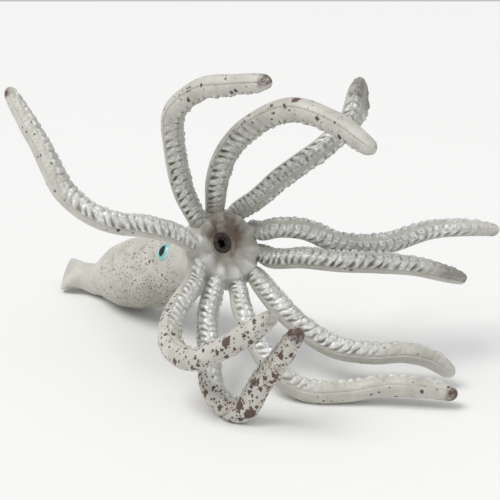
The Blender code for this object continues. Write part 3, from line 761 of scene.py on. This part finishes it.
def arm_surface(distance, length, greatest, around, ribbed, olive, seed):
    """Radius and masks over an arm. Around is the angle from the middle of the inner face. The radius is a
    tapering one, closed by a rounded tip, plus a height: two rows of barrel suckers with a dent each,
    slanting ribs on the flanks, the raised back behind the seam at the ledge, a hollow down the inner face
    and wrinkles. The suckers' pitch p grows with the distance d as p + g d / length. Returns the radius, the
    pearl, grey wash and recess masks, and the share of the length."""
    share = distance / length
    tip = greatest * ARM_TIP_SHARE
    plain = softened(share, ((-1.0, ARM_BALL + 0.4), (0.0, ARM_BALL + 0.4), (0.12, 0.95 * greatest),
                             (0.3, greatest), (0.6, 0.97 * greatest), (0.85, 0.86 * greatest),
                             (0.93, 0.78 * greatest), (1.0, 0.58 * greatest)), 0.10)
    to_end = np.clip((length - distance) / tip, 0.0, 1.0)
    plain = plain * np.sqrt(np.clip(1 - (1 - to_end) ** 2, 0.0, 1.0))
    turned = np.abs(around)
    wobble = 0.16 * ripple(distance * 0.7, around * 3.0, 6, seed)
    from_root = np.maximum(distance, 0)
    grown = length / PITCH_GROWTH * np.log(1 + PITCH_GROWTH * from_root / (SUCKER_PITCH * length))
    pace = grown + 0.5 * (around > 0) + wobble
    patchy = np.clip(0.80 + 0.45 * ripple(distance * 0.9, around * 2.5, 6, seed + 70), 0.25, 1.2)

    starts = ease(distance, 1.5, 5.5)
    ends = 1 - ease(share, 0.93, 0.985)
    small = 1 - 0.22 * ease(share, 0.5, 0.95)
    within = np.abs(pace - np.round(pace))
    barrel = np.clip(1 - (within / 0.43) ** 3, 0.0, 1.0)
    row = ease(turned, 0.26, 0.44) * (1 - ease(turned, 0.80, 0.98))
    dent = np.exp(-((turned - 0.60) / 0.13) ** 2 - (within / 0.17) ** 2)
    tall = 0.62 + 0.25 * ease(share, 0.35, 0.6)
    sucker = row * (tall * barrel * patchy - 0.30 * dent) * small * starts * ends

    ribs = starts * (1 - ease(share, ribbed - 0.10, ribbed + 0.10))
    slant = pace + 0.5 + 0.80 * (turned - 0.95) + 0.10 * ripple(distance * 2.0, around * 7.0, 4, seed + 50)
    gap = np.abs(slant - np.round(slant))
    groove = np.exp(-(gap / (0.10 + 0.13 * ease(turned, 1.1, 1.7))) ** 2)
    flank = ease(turned, 0.88, 1.15) * (1 - ease(turned, LEDGE - 0.20, LEDGE - 0.02))
    deep = 0.40 + 0.60 * ease(turned, 1.05, 1.6)
    rib = flank * ribs * (0.24 - 0.98 * groove * deep * patchy)

    seam = np.exp(-((turned - LEDGE) / 0.05) ** 2)
    back = 0.24 * ease(turned, LEDGE - 0.04, LEDGE + 0.08) - 0.26 * seam
    hollow = -0.28 * (1 - ease(turned, 0.15, 0.42))
    wrinkle = 0.15 * ripple(distance * 2.5, around * greatest * 1.5, 8, seed + 90)
    wrinkle = wrinkle * (1 - ease(turned, 1.9, 2.1))
    uneven = 0.15 * ripple(distance * 0.30, around * 1.5, 5, seed + 20)
    near_tip = 0.25 + 0.75 * to_end
    height = (sucker + rib + (back + hollow + wrinkle) * starts) * near_tip + uneven * to_end
    flat = 1 - 0.13 * np.exp(-(turned / 0.55) ** 2)
    radius = np.maximum(plain * flat - 0.22 * to_end + height, 0.0)

    inner = (1 - ease(turned, LEDGE - 0.08, LEDGE + 0.02)) * starts
    ribbed_here = np.maximum(ribs, 0.55 * (1 - ease(turned, 0.9, 1.1)))
    pearl = inner * ribbed_here * (0.15 + 0.85 * ease(height, -0.30, 0.35))
    recess = np.clip(patchy * (flank * ribs * groove * deep + 0.6 * row * (1 - barrel) * starts * ends * small)
                     + 0.5 * row * dent * starts + 0.25 * seam * starts * to_end, 0, 1)
    washed_end = olive * ease(share, 0.80, 0.86) * (turned < LEDGE)
    recess = np.maximum(recess, washed_end * (0.75 + 0.25 * np.sign(height)))
    return radius, pearl, inner * ribbed_here, recess, share


def arm_piece(number, spec):
    """One arm's skin: its section carried along its route and turned by an even twist. Near a widened end
    the section's points also move sideways, by the sine of their angle."""
    greatest, root_twist, tip_twist, ribbed, spotted, end_painted, blade, painted_light, olive, route = spec
    name = f"arm_{number}"
    root, lead = arm_roots[number - 1], arm_leads[number - 1]
    inward = unit(np.sin(CROWN_SLOPE) * forward - np.cos(CROWN_SLOPE) * arm_outwards[number - 1])
    points = np.vstack([np.zeros(3), ARM_LEAD * lead, np.array(route, float)])
    samples, distances = smooth_route(points)
    length = distances[-1]
    tip = greatest * ARM_TIP_SHARE
    run = np.linspace(-SOCKET_DEPTH, length - tip, ARM_ALONG - TIP_ROWS)
    cap = length - tip * (1 - np.sin(np.linspace(0, np.pi / 2, TIP_ROWS + 2)[1:-1]))
    distance = np.concatenate([run, cap])
    places = read_route(samples, distances, distance) + root
    _, across, beside = carried_frames(places, inward)
    around = np.linspace(-np.pi, np.pi, ARM_ROUND, endpoint=False)[None]
    radius, pearl, greyed, recess, share = arm_surface(distance[:, None], length, greatest, around,
                                                       ribbed, olive, number)
    angle = around + np.radians(root_twist + (tip_twist - root_twist) * np.clip(share, 0, 1))
    sideways = np.cos(angle)[..., None] * across[:, None] + np.sin(angle)[..., None] * beside[:, None]
    twist = (angle - around)[..., None]
    flat_side = np.cos(twist) * beside[:, None] - np.sin(twist) * across[:, None]
    wider = blade * np.exp(-((share - 0.86) / 0.09) ** 2) * np.sin(around)
    sideways = sideways + wider[..., None] * flat_side
    skin_points = places[:, None] + radius[..., None] * sideways
    skin_points[..., 2] = np.maximum(skin_points[..., 2], TABLE_GAP)
    wash = 1 - ease(np.linalg.norm(skin_points - wash_middle, axis=-1), 4.5, 18.5)
    outer = ease(np.abs(around), LEDGE - 0.1, LEDGE + 0.05) + 0 * share
    outer = np.maximum(outer, ease(share, ribbed - 0.05, ribbed + 0.15) * ease(np.abs(around), 0.8, 1.1))
    spots = spotted * outer * ease(share, 0.12, 0.3)
    end_dab = end_painted * ease(share, 0.950, 0.975) * ease(np.abs(around), 0.9, 2.0)
    masks = {
        # Painted light: the silvery value sets the pearl, and below 1 it adds grey wash and recess darkening
        # as painted shade.
        "pearl": pearl * painted_light,
        "greyed": greyed * min(1.0, 2.0 - 1.6 * painted_light),
        "recess": recess * min(1.0, 3.55 - 3.0 * painted_light),
        "mouth_wash": wash,
        "spots": spots,
        "end_dab": end_dab,
    }
    arm = skin(name + "_skin", skin_points, masks, arm_vinyl)
    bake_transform(arm)
    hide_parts(name)


OLIVE_WASH = colour(0.082, 0.070, 0.044)
GREY_WASH = colour(0.30, 0.29, 0.24)
RED_BROWN = colour(0.085, 0.038, 0.030)
PINK_STAIN = colour(0.36, 0.25, 0.20)


def paint_arm():
    """The arms' finish over the same cream vinyl: olive wash in the recesses, pearl on the raised parts, the
    mouth's wash at the roots, dots, patches with a pinkish stain round them, and a dab on the tip."""
    material, tree, shader, mottle = new_vinyl("arm_vinyl")
    base = paint_over(tree, band_of(tree, mottle, 0.35, 0.75), CREAM, SHADED_CREAM)
    place = add_node(tree, "ShaderNodeTexCoord").outputs["Object"]
    brush = band_of(tree, noise(tree, place, 480.0, 4.0, 0.65)["Fac"], 0.40, 0.60)
    recess = mask_of(tree, "recess")
    greyed = sum_up(tree, "MULTIPLY", mask_of(tree, "greyed"), 0.72)
    base = paint_over(tree, greyed, base, GREY_WASH)
    pearl = sum_up(tree, "MULTIPLY", sum_up(tree, "ADD", brush, 0.38), 0.80)
    pearl = sum_up(tree, "MULTIPLY", pearl, mask_of(tree, "pearl"))
    pearl = sum_up(tree, "MULTIPLY", pearl, sum_up(tree, "SUBTRACT", 1.0, recess), clamped=True)
    base = paint_over(tree, pearl, base, PEARL)
    base = paint_over(tree, sum_up(tree, "MULTIPLY", recess, 0.90), base, OLIVE_WASH)
    base = stain_mouth(tree, base, mottle)
    spots = mask_of(tree, "spots")
    dense = sum_up(tree, "POWER", spots, 3.0)
    stain = sum_up(tree, "MULTIPLY", dots(tree, 6.5, dense, 0.62, 5.3), brush)
    base = paint_over(tree, sum_up(tree, "MULTIPLY", stain, 0.7), base, PINK_STAIN)
    large = dots(tree, 4.2, sum_up(tree, "MULTIPLY", dense, 0.85), 0.50, 5.5, 0.75)
    middling = dots(tree, 2.2, sum_up(tree, "MULTIPLY", spots, 0.80), 0.50, 8.4, 0.8)
    small = dots(tree, 1.3, sum_up(tree, "MULTIPLY", spots, 0.85), 0.50, 2.2)
    dab = sum_up(tree, "MULTIPLY", mask_of(tree, "end_dab"), sum_up(tree, "ADD", brush, 0.4), clamped=True)
    patches = sum_up(tree, "MAXIMUM", sum_up(tree, "MAXIMUM", large, middling), dab)
    base = paint_over(tree, sum_up(tree, "MULTIPLY", patches, 0.94), base, RED_BROWN)
    base = paint_over(tree, sum_up(tree, "MULTIPLY", small, 0.85), base, DOT_AND_PIT_SHADE_BROWN)
    tree.links.new(base, shader.inputs["Base Color"])
    bare = sum_up(tree, "SUBTRACT", 1.0, sum_up(tree, "MAXIMUM", patches, mask_of(tree, "mouth_wash")))
    metal = sum_up(tree, "MULTIPLY", sum_up(tree, "MULTIPLY", pearl, bare), 0.24)
    tree.links.new(metal, shader.inputs["Metallic"])
    rough = sum_up(tree, "MULTIPLY_ADD", pearl, -0.16, 0.48)
    tree.links.new(rough, shader.inputs["Roughness"])
    return material


arm_vinyl = paint_arm()
for number, spec in enumerate(ARMS, start=1):
    arm_piece(number, spec)
